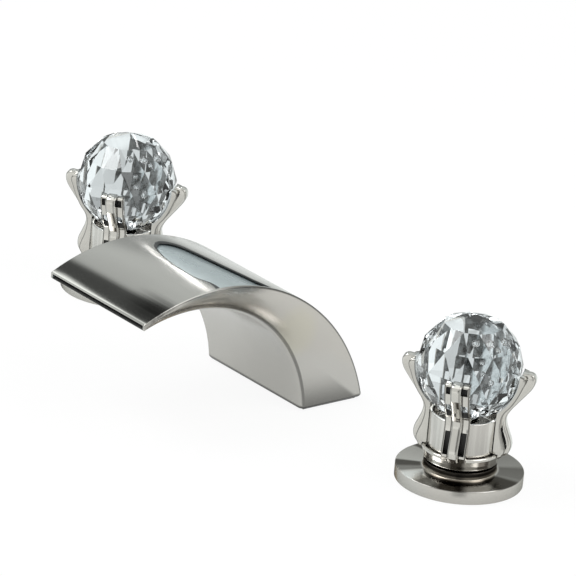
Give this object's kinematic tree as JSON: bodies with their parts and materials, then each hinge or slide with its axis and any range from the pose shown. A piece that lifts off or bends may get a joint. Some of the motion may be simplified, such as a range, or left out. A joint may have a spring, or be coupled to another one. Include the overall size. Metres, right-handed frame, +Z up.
{
  "type": "widespread bathroom faucet",
  "caption": "Widespread basin faucet: hollow arched waterfall spout with a leaf-shaped opening, between faceted crystal ball handles held in claws on round flanges.",
  "frame": {"origin": "on the top face of the deck, on the axis of the spout's threaded shank", "axes": "+Z up, +X from the spout to the right handle as a person at the basin sees it, -Y out over the basin"},
  "size_m": [0.3108, 0.1371, 0.1555],
  "materials": {
    "brushed_nickel": "brushed nickel plating on brass",
    "polished_nickel": "polished nickel plating on brass",
    "crystal": "polished clear crystal",
    "brass": "plain brass",
    "steel": "stainless",
    "rubber": "matt black",
    "ceramic": "ground ceramic"
  },
  "bodies": {
    "faucet": {"spout_body": "brushed_nickel", "spout_base_plate": "brass", "spout_gasket": "rubber", "spout_shank": "brass", "spout_tee": "brass", "tee_seal": "rubber", "spout_rubber_washer": "rubber", "spout_steel_washer": "steel", "spout_nut": "brass", "left_flange": "polished_nickel", "left_flange_gasket": "rubber", "left_valve_body": "brass", "left_cartridge_body": "brass", "left_fixed_disc": "ceramic", "left_cartridge_seal": "rubber", "left_valve_rubber_washer": "rubber", "left_valve_steel_washer": "steel", "left_valve_nut": "brass", "right_flange": "polished_nickel", "right_flange_gasket": "rubber", "right_valve_body": "brass", "right_cartridge_body": "brass", "right_fixed_disc": "ceramic", "right_cartridge_seal": "rubber", "right_valve_rubber_washer": "rubber", "right_valve_steel_washer": "steel", "right_valve_nut": "brass"},
    "left_handle": {"left_moving_disc": "ceramic", "left_spindle": "brass", "left_handle_cup": "polished_nickel", "left_handle_screw": "steel", "left_collar": "brushed_nickel", "left_ball_stud": "steel", "left_crystal_ball": "crystal", "left_claw_1": "brushed_nickel", "left_claw_2": "brushed_nickel", "left_claw_3": "brushed_nickel", "left_claw_4": "brushed_nickel"},
    "right_handle": {"right_moving_disc": "ceramic", "right_spindle": "brass", "right_handle_cup": "polished_nickel", "right_handle_screw": "steel", "right_collar": "brushed_nickel", "right_ball_stud": "steel", "right_crystal_ball": "crystal", "right_claw_1": "brushed_nickel", "right_claw_2": "brushed_nickel", "right_claw_3": "brushed_nickel", "right_claw_4": "brushed_nickel"}
  },
  "joints": [
    {"name": "left_handle_turn", "type": "hinge", "parent": "faucet", "child": "left_handle", "pos_m": [-0.127, 0, 0], "axis": [0, 0, 1], "range_deg": [0, 90]},
    {"name": "right_handle_turn", "type": "hinge", "parent": "faucet", "child": "right_handle", "pos_m": [0.127, 0, 0], "axis": [0, 0, -1], "range_deg": [0, 90]}
  ]
}
